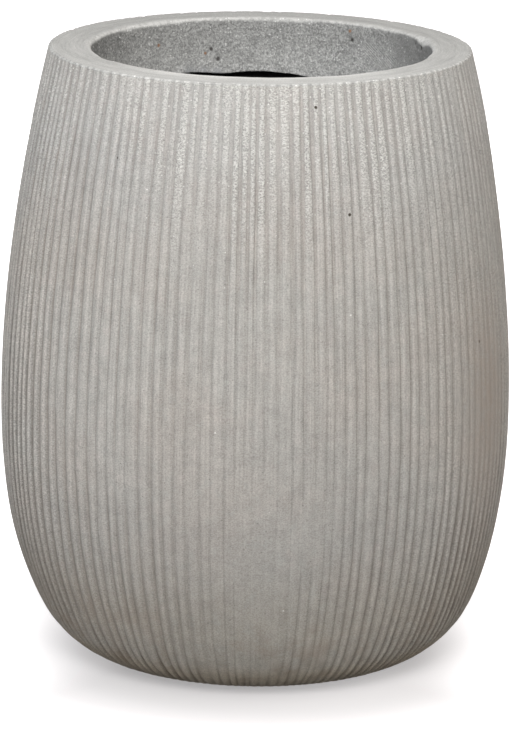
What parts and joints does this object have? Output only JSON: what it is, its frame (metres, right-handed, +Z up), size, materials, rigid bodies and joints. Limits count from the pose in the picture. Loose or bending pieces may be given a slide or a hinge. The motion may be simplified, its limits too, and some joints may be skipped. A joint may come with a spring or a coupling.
{
  "type": "tall round planter",
  "caption": "Tall barrel-shaped planter with a finely ribbed cement wall, flat thick rim, dark lined inside, lift-out drain plug and floor pads.",
  "frame": {"origin": "on the planter's axis at floor level, under the floor pads", "axes": "+Z up along the axis of revolution; -Y is the side that faces the viewer; +X is the viewer's right"},
  "size_m": [0.4, 0.4, 0.484],
  "materials": {
    "face_cement": "matte",
    "rim_cement": "matte",
    "lining": "satin",
    "plug_rubber": "matte",
    "pad_rubber": "matte"
  },
  "bodies": {
    "vessel": {"ribbed_face": "face_cement", "rim_ring": "rim_cement", "fibre_lining": "lining", "floor_pad_1": "pad_rubber", "floor_pad_2": "pad_rubber", "floor_pad_3": "pad_rubber", "floor_pad_4": "pad_rubber"},
    "plug": {"drain_plug": "plug_rubber"}
  },
  "joints": [
    {"name": "plug_lift", "type": "slide", "parent": "vessel", "child": "plug", "axis": [0, 0, 1], "range_m": [0, 0.5]}
  ]
}
